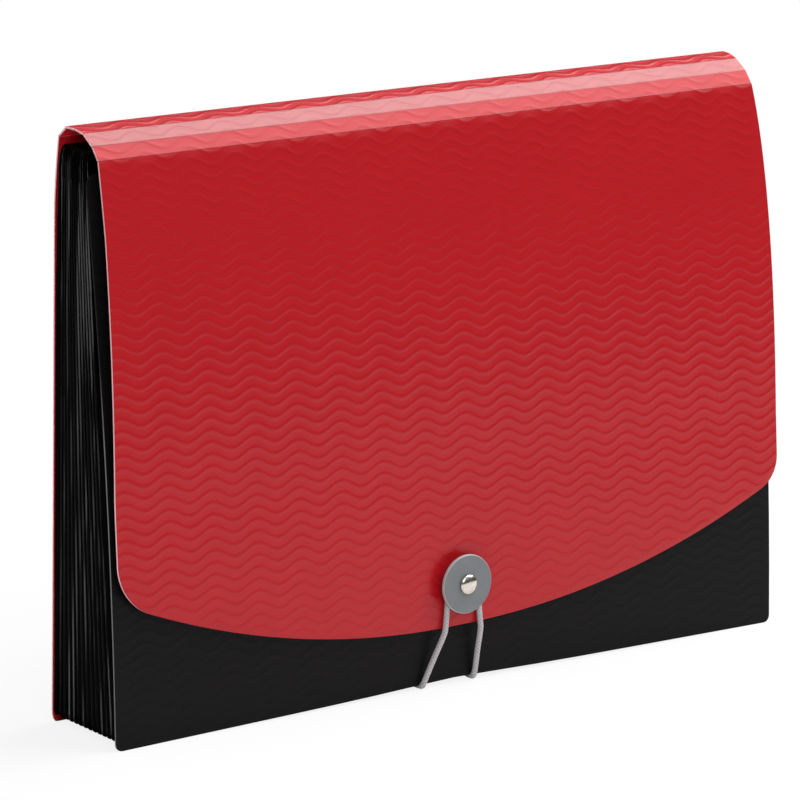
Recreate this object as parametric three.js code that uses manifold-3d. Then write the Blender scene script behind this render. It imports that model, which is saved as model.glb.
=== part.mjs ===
// An expanding file folder: a back cover whose scored spine runs over the top
// into a front flap, a separate front cover, twelve dividers with index tabs,
// thirteen folded gussets, and a riveted button with an elastic cord.
// Millimetres, +Z up, +X to the right, +Y to the back. The folder stands on the
// bottom edges of its two covers.

import * as THREE from 'three';
import { mergeVertices } from 'three/addons/utils/BufferGeometryUtils.js';
import Module from 'manifold-3d';

const wasm = await Module();
wasm.setup();

// Sheets
const coverSheet = 0.8;
const dividerSheet = 0.3;
const gussetFilm = 0.2;
const scoreGap = 0.3;
const seamGap = 0.22;

// Body and covers
const bodyWidth = 329;
const bodyDepth = 47.1;
const backCoverOverhang = 0.5;
const backCoverHeight = 234.5;
const backCornerRadius = 5;
const backBendHeight = 34.5;
const backBendDepth = 2.8;
const frontCoverOverhang = 1.5;
const frontCoverDrop = 11.5;
const frontBottomRadius = 3;
const frontTopRadius = 5;
const frontLeanAtFoot = 0.044;

const backCoverWidth = bodyWidth + 2 * backCoverOverhang;
const frontCoverWidth = bodyWidth + 2 * frontCoverOverhang;
const frontCoverHeight = backCoverHeight - frontCoverDrop;

// The cord draws the middle of the front cover in and lifts its edge a little.
const cordPullDepth = 2.5;
const cordPullRise = 2.2;
const cordPullHeight = 150;

// Spine strips between the score lines, from the back cover to the flap, and
// how much of the flap's inset each line has reached.
const spineStripWidths = [5.6, 5.1, 5.1, 7.4, 6.5];
const spineStripAngles = [48, -1, -14, -33, -50.5];
const spineTaperShares = [0, 0.4, 0.72, 1, 1, 1];

// Flap
const flapInset = 2.5;
const flapWidth = backCoverWidth - 2 * flapInset;
const flapBottomHeight = 23.5;
const flapBottomArcRadius = 400;
const flapCornerRadius = 15;
const flapStandoff = 3.5;
const flapStandoffAtButton = 2.1;
const flapBow = 1.1;
const flapBowStart = 90;

// Pockets
const dividerCount = 12;
const dividerFoot = 4;
const dividerDrop = 1;
const dividerShoulder = frontCoverHeight - dividerDrop;
const dividerCornerRadius = 3;
const dividerShoulderRadius = 6;
const backPocketDepth = 4.4;
const frontPocketShare = 1.3;
const tabRise = 7;
const tabWidth = 44;
const tabSlope = 3;
const tabPlaces = 6;
const tabEndMargin = 12;
const gussetRise = 3;
const gussetTop = frontCoverHeight + gussetRise;
const gussetFoldDepth = 12;
const gussetFoldRadius = 1;

// Button and cord
const buttonHeight = 43;
const buttonDiameter = 25;
const buttonThickness = 1.6;
const hubDiameter = 11;
const hubHeight = 3;
const rivetShankDiameter = 3;
const rivetHeadDiameter = 8.2;
const rivetHeadHeight = 1.8;
const rivetRollDiameter = 5;
const rivetRollThickness = 0.5;
const rivetWasherDiameter = 9;
const rivetWasherThickness = 0.5;
const rivetClearance = 0.3;
const stackGap = 0.25;
const cordDiameter = 2.3;
const cordGap = 0.3;
const cordNotchTop = 2.95;
const cordHoleDiameter = 3;
const cordHoleHeight = 24;
const cordBarbLength = 10;
const cordBarbDiameter = 1.6;
const cordCrossingsFront = [-16.9, 9];
const cordCrossingsBack = [-18, 18];

// The cord's centre line: in at the left hole, down the back cover, forward
// under the body, up the front, round the hub, and back the same way.
const cordRoute = [
  [-18, 46.3, 24],
  [-18, 47.3, 23.9],
  [-18, 48.2, 23.3],
  [-18, 48.55, 22.2],
  [-18, 48.55, 13],
  [-18, 48.55, 3.1],
  [-18, 48.01, 1.85],
  [-18, 46.7, 1.36],
  [-17.8, 32, 1.3],
  [-17.2, 17, 1.3],
  [-16.9, 2.6, 1.36],
  [-16.9, 1.3, 1.85],
  [-16.8, 0.76, 3.1],
  [-12.8, -0.6, 13.5],
  [-8.9, -1.93, 23.4],
  [-8.5, -1.95, 25.5],
  [-6.95, -1.62, 43],
  [-6.02, -1.53, 46.5],
  [-3.48, -1.45, 49],
  [0, -1.42, 49.95],
  [3.48, -1.45, 49],
  [6.02, -1.53, 46.5],
  [6.95, -1.62, 43],
  [9.1, -1.95, 25.5],
  [9.4, -1.93, 23.4],
  [9.2, -0.55, 13.5],
  [9, 0.93, 3.1],
  [9, 1.47, 1.85],
  [9, 2.78, 1.36],
  [11.5, 17, 1.3],
  [15.5, 32, 1.3],
  [18, 46.7, 1.36],
  [18, 48.01, 1.85],
  [18, 48.55, 3.1],
  [18, 48.55, 13],
  [18, 48.55, 22.2],
  [18, 48.2, 23.3],
  [18, 47.3, 23.9],
  [18, 46.3, 24],
];

const halfTurn = Math.PI;
const degrees = Math.PI / 180;

const redSheet = new THREE.MeshStandardMaterial({ color: 0xb3202a, roughness: 0.38, metalness: 0 });
const blackSheet = new THREE.MeshStandardMaterial({ color: 0x222223, roughness: 0.5, metalness: 0 });
const blackFilm = new THREE.MeshStandardMaterial({ color: 0x151516, roughness: 0.4, metalness: 0 });
const greyPlastic = new THREE.MeshStandardMaterial({ color: 0x75787b, roughness: 0.45, metalness: 0 });
const nickel = new THREE.MeshStandardMaterial({ color: 0xc9c4bd, roughness: 0.2, metalness: 1 });
const greyCord = new THREE.MeshStandardMaterial({ color: 0x969194, roughness: 0.85, metalness: 0 });

const folder = new THREE.Group();

function addPiece(name, geometry, material) {
  const mesh = new THREE.Mesh(geometry, material);
  mesh.name = name;
  folder.add(mesh);
  return mesh;
}

// Closed meshes

function signedVolume(positions, triangles) {
  const a = new THREE.Vector3();
  const b = new THREE.Vector3();
  const c = new THREE.Vector3();
  let volume = 0;
  for (let i = 0; i < triangles.length; i += 3) {
    a.fromArray(positions, 3 * triangles[i]);
    b.fromArray(positions, 3 * triangles[i + 1]);
    c.fromArray(positions, 3 * triangles[i + 2]);
    volume += a.dot(b.cross(c)) / 6;
  }
  return volume;
}

// A closed body from rings of points joined in order, with its two ends capped.
// Each ring's cap is given as triangles of ring places. The walls that start at
// the ring places in crossSplit are split along their other diagonal.
function loftedGeometry(rings, cap, crossSplit = []) {
  const ringSize = rings[0].length;
  const positions = rings.flat().flatMap((point) => point.toArray());
  const triangles = [];
  for (let r = 0; r + 1 < rings.length; r += 1) {
    for (let i = 0; i < ringSize; i += 1) {
      const here = r * ringSize + i;
      const beside = r * ringSize + ((i + 1) % ringSize);
      if (crossSplit.includes(i)) {
        triangles.push(here, beside, beside + ringSize);
        triangles.push(here, beside + ringSize, here + ringSize);
      } else {
        triangles.push(here, beside, here + ringSize);
        triangles.push(beside, beside + ringSize, here + ringSize);
      }
    }
  }
  const last = (rings.length - 1) * ringSize;
  for (const [i, j, k] of cap) {
    triangles.push(i, k, j);
    triangles.push(last + i, last + j, last + k);
  }
  if (signedVolume(positions, triangles) < 0) {
    triangles.reverse();
  }
  const geometry = new THREE.BufferGeometry();
  geometry.setAttribute('position', new THREE.Float32BufferAttribute(positions, 3));
  geometry.setIndex(triangles);
  return geometry;
}

// A sheet between an outer and an inner grid of points, grid[column][row].
// Each column makes one ring: up the outer face and down the inner one.
function sheetGeometry(outer, inner) {
  const rows = outer[0].length;
  const rings = outer.map((column, c) => [...column, ...[...inner[c]].reverse()]);
  const cap = [];
  for (let r = 0; r + 1 < rows; r += 1) {
    const across = 2 * rows - 1 - r;
    cap.push([r, r + 1, across]);
    cap.push([r + 1, across - 1, across]);
  }
  return loftedGeometry(rings, cap);
}

function manifoldOf(geometry) {
  const bare = geometry.clone();
  bare.deleteAttribute('normal');
  bare.deleteAttribute('uv');
  const merged = mergeVertices(bare, 1e-4);
  return new wasm.Manifold(new wasm.Mesh({
    numProp: 3,
    vertProperties: Float32Array.from(merged.attributes.position.array),
    triVerts: Uint32Array.from(merged.index.array),
  }));
}

function withHoles(geometry, drills) {
  let solid = manifoldOf(geometry);
  for (const drill of drills) {
    solid = solid.subtract(manifoldOf(drill));
  }
  const mesh = solid.getMesh();
  const drilled = new THREE.BufferGeometry();
  drilled.setAttribute('position', new THREE.Float32BufferAttribute(mesh.vertProperties, 3));
  drilled.setIndex(Array.from(mesh.triVerts));
  return drilled;
}

// Places along an edge: finer steps round each corner, even steps between.
function cornerSteps(halfWidth, radius, steps) {
  return Array.from({ length: steps + 1 }, (_, i) => (
    halfWidth - radius * (1 - Math.cos((i / steps) * halfTurn / 2))
  ));
}

function evenSteps(from, to, steps) {
  return Array.from({ length: steps + 1 }, (_, i) => from + ((to - from) * i) / steps);
}

function columnPlaces(halfWidth, radii, inner) {
  const places = radii.flatMap((radius) => cornerSteps(halfWidth, radius, 4));
  const half = [...places, ...inner.filter((x) => x < halfWidth - Math.max(...radii))];
  const all = [...half, ...half.map((x) => -x)].sort((a, b) => a - b);
  return all.filter((x, i) => i === 0 || x - all[i - 1] > 0.02);
}

function roundedRise(x, halfWidth, radius) {
  const past = Math.abs(x) - (halfWidth - radius);
  return past > 0 ? radius - Math.sqrt(Math.max(0, radius * radius - past * past)) : 0;
}

// The shapes of the standing sheets

function cordPullShare(x) {
  const share = Math.min(1, Math.abs(x) / (frontCoverWidth / 2));
  return 0.75 * (1 - share) + 0.25 * Math.exp(-((share / 0.25) ** 2)) * (1 - share);
}

function cordPullFade(z) {
  const left = Math.max(0, 1 - z / cordPullHeight);
  return left * left;
}

function backOuterY(z) {
  const past = Math.max(0, z - (backCoverHeight - backBendHeight)) / backBendHeight;
  return bodyDepth - backBendDepth * past * past;
}

function backInnerY(z) {
  return backOuterY(z) - coverSheet;
}

// The spine's outer profile, as score points and the direction of each stretch.
// A direction of 0 degrees runs forwards, 90 degrees runs up.
function forwardAndUp(angle) {
  return new THREE.Vector2(-Math.cos(angle), Math.sin(angle));
}

function inwards(angle) {
  return new THREE.Vector2(-Math.sin(angle), -Math.cos(angle));
}

const scorePoints = [new THREE.Vector2(backOuterY(backCoverHeight), backCoverHeight)];
for (const [i, width] of spineStripWidths.entries()) {
  const step = forwardAndUp(spineStripAngles[i] * degrees).multiplyScalar(width);
  scorePoints.push(scorePoints[i].clone().add(step));
}
const flapHinge = scorePoints.at(-1);

// The front cover leans back more and more, to lie just behind the flap's hinge.
const hingeSetback = flapHinge.x + coverSheet + flapStandoff;
const frontLeanGrowth = (hingeSetback - frontLeanAtFoot * flapHinge.y) / flapHinge.y ** 2;

function frontLean(z) {
  return frontLeanAtFoot * z + frontLeanGrowth * z * z;
}

function frontSlope(z) {
  return frontLeanAtFoot + 2 * frontLeanGrowth * z;
}

function frontOuterY(x, z) {
  return frontLean(z) + cordPullDepth * cordPullShare(x) * cordPullFade(z);
}

function frontInnerY(x, z) {
  return frontOuterY(x, z) + coverSheet;
}

function frontBottom(x) {
  return cordPullRise * cordPullShare(x);
}

const backTopAngle = halfTurn / 2 - Math.atan(2 * backBendDepth / backBendHeight);
const flapTopAngle = -(halfTurn / 2 - Math.atan(frontSlope(flapHinge.y)));
const profileAngles = [backTopAngle, ...spineStripAngles.map((a) => a * degrees), flapTopAngle];

// The inner corner of the mitre at a score line.
function mitrePoint(i) {
  const before = inwards(profileAngles[i]);
  const after = inwards(profileAngles[i + 1]);
  const reach = coverSheet / (1 + before.dot(after));
  return scorePoints[i].clone().add(before.add(after).multiplyScalar(reach));
}

function spineStrip(i) {
  const along = forwardAndUp(profileAngles[i + 1]).multiplyScalar(scoreGap / 2);
  const near = [scorePoints[i], mitrePoint(i)].map((point) => point.clone().add(along));
  const far = [scorePoints[i + 1], mitrePoint(i + 1)].map((point) => point.clone().sub(along));
  const halfWidthAt = (line) => backCoverWidth / 2 - flapInset * spineTaperShares[line];
  const ends = [[near, halfWidthAt(i)], [far, halfWidthAt(i + 1)]];
  const rings = ends.map(([[outer, inner], half]) => [
    new THREE.Vector3(-half, outer.x, outer.y),
    new THREE.Vector3(half, outer.x, outer.y),
    new THREE.Vector3(half, inner.x, inner.y),
    new THREE.Vector3(-half, inner.x, inner.y),
  ]);
  return loftedGeometry(rings, [[0, 1, 2], [0, 2, 3]]);
}

// A notch over a cord that runs under the sheet's edge.
function notchTop(x, crossings) {
  const radius = cordDiameter / 2 + cordGap;
  const heights = crossings.map((crossing) => {
    const off = Math.abs(x - crossing);
    return off < radius ? cordNotchTop - radius + Math.sqrt(radius * radius - off * off) : 0;
  });
  return Math.max(...heights);
}

function notchPlaces(crossings) {
  const radius = cordDiameter / 2 + cordGap;
  return crossings.flatMap((crossing) => [
    crossing - radius - 0.05,
    ...evenSteps(0, halfTurn, 6).map((angle) => crossing - radius * 0.998 * Math.cos(angle)),
    crossing + radius + 0.05,
  ]);
}

function drillAt(diameter, x, z, depth) {
  const drill = new THREE.CylinderGeometry(diameter / 2, diameter / 2, depth, 20);
  return drill.translate(x, 0, z);
}

function backCover() {
  const half = backCoverWidth / 2;
  const columns = [
    ...columnPlaces(half, [backCornerRadius], evenSteps(0, half, 4)),
    ...notchPlaces(cordCrossingsBack),
  ].sort((a, b) => a - b);
  const top = scorePoints[0].clone().sub(forwardAndUp(profileAngles[0]).multiplyScalar(scoreGap / 2));
  const topInner = mitrePoint(0).sub(forwardAndUp(profileAngles[0]).multiplyScalar(scoreGap / 2));
  const bendStart = backCoverHeight - backBendHeight;
  const outer = [];
  const inner = [];
  for (const x of columns) {
    const bottom = Math.max(roundedRise(x, half, backCornerRadius), notchTop(x, cordCrossingsBack));
    const heights = [...evenSteps(bottom, bendStart, 3), ...evenSteps(bendStart, top.y, 4).slice(1)];
    outer.push(heights.map((z) => new THREE.Vector3(x, backOuterY(z), z)));
    const innerHeights = [...heights.slice(0, -1), topInner.y];
    inner.push(innerHeights.map((z, i) => (
      new THREE.Vector3(x, i === heights.length - 1 ? topInner.x : backInnerY(z), z)
    )));
  }
  const holes = cordCrossingsBack.map((x) => (
    drillAt(cordHoleDiameter, x, cordHoleHeight, 6).translate(0, bodyDepth, 0)
  ));
  return withHoles(sheetGeometry(outer, inner), holes);
}

function frontCover() {
  const half = frontCoverWidth / 2;
  const columns = [
    ...columnPlaces(half, [frontBottomRadius, frontTopRadius], evenSteps(0, half, 8)),
    ...notchPlaces(cordCrossingsFront),
  ].sort((a, b) => a - b);
  const outer = [];
  const inner = [];
  for (const x of columns) {
    const edge = frontBottom(x) + roundedRise(x, half, frontBottomRadius);
    const bottom = Math.max(edge, notchTop(x, cordCrossingsFront));
    const top = frontCoverHeight - roundedRise(x, half, frontTopRadius);
    const heights = evenSteps(bottom, top, 10);
    outer.push(heights.map((z) => new THREE.Vector3(x, frontOuterY(x, z), z)));
    inner.push(heights.map((z) => new THREE.Vector3(x, frontInnerY(x, z), z)));
  }
  return sheetGeometry(outer, inner);
}

// The flap's lower edge: a long arc that runs into a tighter one at each corner.
function flapBottom(x) {
  const half = flapWidth / 2;
  const arcCentre = flapBottomHeight + flapBottomArcRadius;
  const cornerX = half - flapCornerRadius;
  const toCorner = flapBottomArcRadius - flapCornerRadius;
  const cornerZ = arcCentre - Math.sqrt(toCorner * toCorner - cornerX * cornerX);
  const meetingX = cornerX * flapBottomArcRadius / toCorner;
  if (Math.abs(x) <= meetingX) {
    return arcCentre - Math.sqrt(flapBottomArcRadius ** 2 - x * x);
  }
  const past = Math.abs(x) - cornerX;
  return cornerZ - Math.sqrt(Math.max(0, flapCornerRadius ** 2 - past * past));
}

function flapOuterY(x, z) {
  const drawnIn = (flapStandoff - flapStandoffAtButton) * cordPullShare(x) * cordPullFade(z);
  return frontOuterY(x, z) - coverSheet - flapStandoff + drawnIn;
}

function flapFaceY(x, z) {
  const upTheBow = Math.max(0, (z - flapBowStart) / (flapHinge.y - flapBowStart));
  const bow = flapBow * Math.sin(halfTurn * upTheBow);
  return flapOuterY(x, z) - bow;
}

function flap() {
  const half = flapWidth / 2;
  const columns = columnPlaces(half, [flapCornerRadius], evenSteps(0, half, 8));
  const top = flapHinge.clone().add(forwardAndUp(flapTopAngle).multiplyScalar(scoreGap / 2));
  const topInner = mitrePoint(5).add(forwardAndUp(flapTopAngle).multiplyScalar(scoreGap / 2));
  const outer = [];
  const inner = [];
  for (const x of columns) {
    const bottom = flapBottom(x);
    const heights = evenSteps(bottom, top.y, 10);
    outer.push(heights.map((z) => new THREE.Vector3(x, flapFaceY(x, z), z)));
    inner.push(heights.map((z, i) => {
      if (i === heights.length - 1) {
        return new THREE.Vector3(x, topInner.x, topInner.y);
      }
      return new THREE.Vector3(x, flapFaceY(x, z) + coverSheet, z - coverSheet * frontSlope(z));
    }));
  }
  const hole = rivetShankDiameter + 2 * rivetClearance;
  const drill = drillAt(hole, 0, buttonHeight, 12).translate(0, flapFaceY(0, buttonHeight), 0);
  return withHoles(sheetGeometry(outer, inner), [drill]);
}

// Dividers stand in a fan: the first is upright, and each next one leans more.

const fanFootY = bodyDepth - coverSheet - backPocketDepth;
const frontFootInner = coverSheet;
const frontTopInner = frontLean(frontCoverHeight) + coverSheet;

function fanY(place, z) {
  const frontChord = frontFootInner + ((frontTopInner - frontFootInner) * z) / frontCoverHeight;
  const share = (place - 1) / (dividerCount - 1 + frontPocketShare);
  return fanFootY + (frontChord - fanFootY) * share;
}

function tabCentre(place) {
  const pitch = (bodyWidth - 2 * tabEndMargin - tabWidth) / (tabPlaces - 1);
  return -bodyWidth / 2 + tabEndMargin + tabWidth / 2 + pitch * ((place - 1) % tabPlaces);
}

function divider(place) {
  const half = bodyWidth / 2;
  const tabEdges = [-1, 1].flatMap((side) => (
    [tabWidth / 2, tabWidth / 2 - tabSlope].map((off) => tabCentre(place) + side * off)
  ));
  const columns = [
    ...columnPlaces(half, [dividerCornerRadius, dividerShoulderRadius], []),
    ...tabEdges,
  ].sort((a, b) => a - b);
  const topAt = (x) => {
    const inTab = tabWidth / 2 - Math.abs(x - tabCentre(place));
    const rise = tabRise * Math.min(1, Math.max(0, inTab / tabSlope));
    return dividerShoulder + rise - roundedRise(x, half, dividerShoulderRadius);
  };
  const faces = [-1, 1].map((side) => columns.map((x) => {
    const bottom = dividerFoot + roundedRise(x, half, dividerCornerRadius);
    return [bottom, topAt(x)].map((z) => (
      new THREE.Vector3(x, fanY(place, z) + (side * dividerSheet) / 2, z)
    ));
  }));
  return sheetGeometry(faces[0], faces[1]);
}

// The sheet faces on either side of a pocket, pocket 1 being the rearmost.
function faceBehind(pocket, x, z) {
  return pocket === 1 ? backInnerY(z) : fanY(pocket - 1, z) - dividerSheet / 2;
}

function faceAhead(pocket, x, z) {
  return pocket === dividerCount + 1 ? frontInnerY(x, z) : fanY(pocket, z) + dividerSheet / 2;
}

// The fold stays on the flat plane midway between the pocket's own sheets.
function foldY(pocket, z) {
  const behind = pocket === 1 ? bodyDepth - coverSheet : fanY(pocket - 1, z);
  const ahead = pocket === dividerCount + 1
    ? fanY(dividerCount + frontPocketShare, z)
    : fanY(pocket, z);
  return (behind + ahead) / 2;
}

// The route of a gusset: down one side, across the foot and up the other.
// Each stop pairs a place on the outer edge with one on the inner fold.
function gussetStops(pocket) {
  const half = bodyWidth / 2;
  const foldX = half - gussetFoldDepth;
  const foldZ = dividerFoot + gussetFoldDepth;
  const sideSteps = pocket === dividerCount + 1 || pocket === 1 ? 5 : 1;
  const footSteps = pocket === dividerCount + 1 ? 12 : 1;
  const shoulder = gussetTop - dividerShoulderRadius;
  const stops = [];
  for (const angle of evenSteps(0, halfTurn / 2, 3)) {
    const inset = dividerShoulderRadius * (1 - Math.sin(angle));
    const z = gussetTop - dividerShoulderRadius * (1 - Math.cos(angle));
    stops.push([half - inset, z, foldX, z]);
  }
  for (const z of evenSteps(shoulder, dividerFoot + dividerCornerRadius, sideSteps).slice(1, -1)) {
    stops.push([half, z, foldX, Math.max(z, foldZ + 2 * gussetFoldRadius)]);
  }
  for (const angle of evenSteps(0, halfTurn / 2, 3)) {
    const outerInset = dividerCornerRadius * (1 - Math.cos(angle));
    const outerRise = dividerCornerRadius * (1 - Math.sin(angle));
    const foldInset = gussetFoldRadius * (1 - Math.cos(angle));
    const foldRise = gussetFoldRadius * (1 - Math.sin(angle));
    stops.push([half - outerInset, dividerFoot + outerRise, foldX - foldInset, foldZ + foldRise]);
  }
  const footHalf = half - dividerCornerRadius;
  const foldHalf = foldX - gussetFoldRadius;
  const foot = evenSteps(1, 0, footSteps).slice(1, -1);
  const mirrored = [...stops].reverse().map(([x, z, fx, fz]) => [-x, z, -fx, fz]);
  const middle = foot.map((share) => [
    footHalf * (2 * share - 1), dividerFoot, foldHalf * (2 * share - 1), foldZ,
  ]);
  return [...stops, ...middle, ...mirrored];
}

function gusset(pocket) {
  const rings = gussetStops(pocket).map(([x, z, foldX, foldZ]) => {
    const behind = faceBehind(pocket, x, z) - seamGap;
    const ahead = faceAhead(pocket, x, z) + seamGap;
    const open = behind - ahead - 2 * gussetFilm;
    const valley = open / (behind - ahead);
    const valleyX = x + (foldX - x) * valley;
    const valleyZ = z + (foldZ - z) * valley;
    return [
      new THREE.Vector3(x, behind, z),
      new THREE.Vector3(x, behind - gussetFilm, z),
      new THREE.Vector3(valleyX, foldY(pocket, valleyZ), valleyZ),
      new THREE.Vector3(x, ahead + gussetFilm, z),
      new THREE.Vector3(x, ahead, z),
      new THREE.Vector3(foldX, foldY(pocket, foldZ), foldZ),
    ];
  });
  // Both faces of a leg are split the same way, so that a twisted film keeps its thickness.
  return loftedGeometry(rings, [[0, 1, 5], [1, 2, 5], [2, 3, 5], [3, 4, 5]], [2, 5]);
}

// The button stands square to the flap: its parts turn about the rivet.

function turned(outline, segments) {
  return new THREE.LatheGeometry(outline.map(([r, h]) => new THREE.Vector2(r, h)), segments);
}

const buttonRadius = buttonDiameter / 2;
const buttonRise = flapFaceY(0, buttonHeight + buttonRadius)
  - flapFaceY(0, buttonHeight - buttonRadius);
const buttonTilt = Math.atan(buttonRise / buttonDiameter);

function placeOnButton(geometry) {
  return geometry
    .rotateX(halfTurn - buttonTilt)
    .translate(0, flapFaceY(0, buttonHeight), buttonHeight);
}

// Heights along the rivet, measured out from the flap's outer face.
const hubBase = stackGap;
const discBase = hubBase + hubHeight + stackGap;
const headBase = discBase + buttonThickness + stackGap;
const washerFront = -(coverSheet + stackGap);
const rollFront = washerFront - rivetWasherThickness - stackGap;
const boreRadius = rivetShankDiameter / 2 + rivetClearance;

function hub() {
  const radius = hubDiameter / 2;
  const chamfer = 0.3;
  return placeOnButton(turned([
    [boreRadius, hubBase],
    [radius, hubBase],
    [radius, hubBase + hubHeight - chamfer],
    [radius - chamfer, hubBase + hubHeight],
    [boreRadius, hubBase + hubHeight],
    [boreRadius, hubBase],
  ], 24));
}

function buttonDisc() {
  const top = discBase + buttonThickness;
  const edge = 0.35;
  return placeOnButton(turned([
    [boreRadius, discBase],
    [buttonRadius - edge, discBase],
    [buttonRadius, discBase + edge],
    [buttonRadius, top - edge],
    [buttonRadius - edge, top],
    [boreRadius, top],
    [boreRadius, discBase],
  ], 48));
}

function rivet() {
  const shank = rivetShankDiameter / 2;
  const head = rivetHeadDiameter / 2;
  const roll = rivetRollDiameter / 2;
  const dome = evenSteps(0, halfTurn / 2, 6).map((angle) => [
    head * Math.cos(angle),
    headBase + 0.35 + (rivetHeadHeight - 0.35) * Math.sin(angle),
  ]);
  dome.at(-1)[0] = 0;
  return placeOnButton(turned([
    [0, rollFront - rivetRollThickness],
    [roll - 0.2, rollFront - rivetRollThickness],
    [roll, rollFront],
    [shank, rollFront],
    [shank, headBase],
    [head, headBase],
    ...dome,
  ], 32));
}

function rivetWasher() {
  return placeOnButton(turned([
    [boreRadius, washerFront - rivetWasherThickness],
    [rivetWasherDiameter / 2, washerFront - rivetWasherThickness],
    [rivetWasherDiameter / 2, washerFront],
    [boreRadius, washerFront],
    [boreRadius, washerFront - rivetWasherThickness],
  ], 24));
}

function cordBarb(x) {
  const barb = new THREE.CapsuleGeometry(cordBarbDiameter / 2, cordBarbLength, 3, 12);
  const y = bodyDepth - coverSheet - stackGap - cordBarbDiameter / 2;
  return barb.rotateZ(halfTurn / 2).translate(x, y, cordHoleHeight);
}

// A curve whose steps keep to its points, so that its short bends get theirs.
class PointedCurve extends THREE.CatmullRomCurve3 {
  getPointAt(share, target) {
    return this.getPoint(share, target);
  }

  getTangentAt(share, target) {
    return this.getTangent(share, target);
  }
}

function elasticCord() {
  const points = cordRoute.map(([x, y, z]) => new THREE.Vector3(x, y, z));
  const section = new THREE.Shape();
  section.absarc(0, 0, cordDiameter / 2, 0, 2 * halfTurn);
  return new THREE.ExtrudeGeometry(section, {
    curveSegments: 4,
    steps: 2 * (points.length - 1),
    extrudePath: new PointedCurve(points),
  });
}

addPiece('back_cover', backCover(), redSheet);
for (const i of spineStripWidths.keys()) {
  addPiece(`spine_strip_${i + 1}`, spineStrip(i), redSheet);
}
addPiece('flap', flap(), redSheet);
addPiece('front_cover', frontCover(), blackSheet);
for (let place = 1; place <= dividerCount; place += 1) {
  addPiece(`divider_${String(place).padStart(2, '0')}`, divider(place), blackFilm);
}
for (let pocket = 1; pocket <= dividerCount + 1; pocket += 1) {
  addPiece(`gusset_${String(pocket).padStart(2, '0')}`, gusset(pocket), blackFilm);
}
addPiece('button_hub', hub(), greyPlastic);
addPiece('button_disc', buttonDisc(), greyPlastic);
addPiece('button_rivet', rivet(), nickel);
addPiece('rivet_washer', rivetWasher(), nickel);
addPiece('cord_barb_left', cordBarb(cordCrossingsBack[0]), nickel);
addPiece('cord_barb_right', cordBarb(cordCrossingsBack[1]), nickel);

// The origin lies under the middle of the folder's depth without its cord.
const overall = new THREE.Box3().setFromObject(folder);
const originSetback = (overall.min.y + overall.max.y) / 2;
folder.position.y = -originSetback;
addPiece('elastic_cord', elasticCord(), greyCord);
folder.updateMatrixWorld(true);
console.log(`The origin is ${originSetback.toFixed(4)} mm behind the front cover's lower corners.`);

export default folder;
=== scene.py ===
import math

import bpy
from mathutils import Matrix, Vector


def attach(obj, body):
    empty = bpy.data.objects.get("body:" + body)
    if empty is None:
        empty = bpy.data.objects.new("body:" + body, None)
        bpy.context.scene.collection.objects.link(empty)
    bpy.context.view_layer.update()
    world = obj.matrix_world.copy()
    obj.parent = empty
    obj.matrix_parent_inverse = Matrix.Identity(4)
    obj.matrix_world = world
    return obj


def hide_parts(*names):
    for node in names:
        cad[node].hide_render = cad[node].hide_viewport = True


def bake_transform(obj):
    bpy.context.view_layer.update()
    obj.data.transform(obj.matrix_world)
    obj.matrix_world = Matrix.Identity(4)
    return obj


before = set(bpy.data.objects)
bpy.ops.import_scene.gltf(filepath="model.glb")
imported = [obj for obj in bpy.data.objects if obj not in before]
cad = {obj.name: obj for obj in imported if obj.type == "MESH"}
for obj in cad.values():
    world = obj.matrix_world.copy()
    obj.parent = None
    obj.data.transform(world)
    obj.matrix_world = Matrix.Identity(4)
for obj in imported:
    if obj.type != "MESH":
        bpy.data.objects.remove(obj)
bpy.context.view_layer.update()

# An expanding file folder of polypropylene sheet. A red sheet runs up the back, over the top in
# five scored strips and down the front as a flap. A black sheet is the front cover. Twelve
# dividers stand between them, with a folded film round the sides and foot of each pocket.
# An elastic cord goes round a button on the flap. The front faces -Y. Sizes are in metres.

# Sizes that several pieces share

SHEET = 0.0008
ORIGIN_SETBACK = 0.0200207
BUTTON_AXIS = Vector((0.0, -0.999529, 0.030688))
BUTTON_CENTRE = Vector((0.0, -0.0199326, 0.043))
POCKETS = 13

# The emboss: one wave across the folder, where its first crest is, how far it swings up, and
# how far apart the waves follow each other along the sheet
WAVE_LENGTH = 0.02065
WAVE_CREST = 0.00335
WAVE_HEIGHT = 0.00185
WAVE_PITCH = 0.00475

# The red sheet's stretches from the back cover to the flap, by direction in degrees, where 0 is
# forwards and 90 is up. The five between the first and the last are the spine's strips.
STRETCH_ANGLES = [80.8, 48, -1, -14, -33, -50.5, -80.3]
STRIP_WIDTHS = [0.0056, 0.0051, 0.0051, 0.0074, 0.0065]
STRIPS = len(STRIP_WIDTHS)
BACK_COVER_TOP = Vector((0, 0.0443 - ORIGIN_SETBACK, 0.2345))


def sheet_direction(angle):
    """The way along the red sheet in a stretch, from its angle in radians."""
    return Vector((0, -math.cos(angle), math.sin(angle)))


def score_line_points():
    """The outer points of the six score lines, from the back cover's top to the flap's."""
    points = [BACK_COVER_TOP]
    for width, angle in zip(STRIP_WIDTHS, STRETCH_ANGLES[1:]):
        points.append(points[-1] + width * sheet_direction(math.radians(angle)))
    return points


SCORE_POINTS = score_line_points()


# Camera

CAMERA_PLACE = Vector((-1.2248, -1.5744 - ORIGIN_SETBACK, 0.6065))
CAMERA_YAW = math.radians(37.140)
CAMERA_PITCH = math.radians(13.769)
CAMERA_ROLL = math.radians(1.194)
SENSOR_MM = 36
FOCAL_PIXELS = 5148
FRAME_PIXELS = 800


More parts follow.
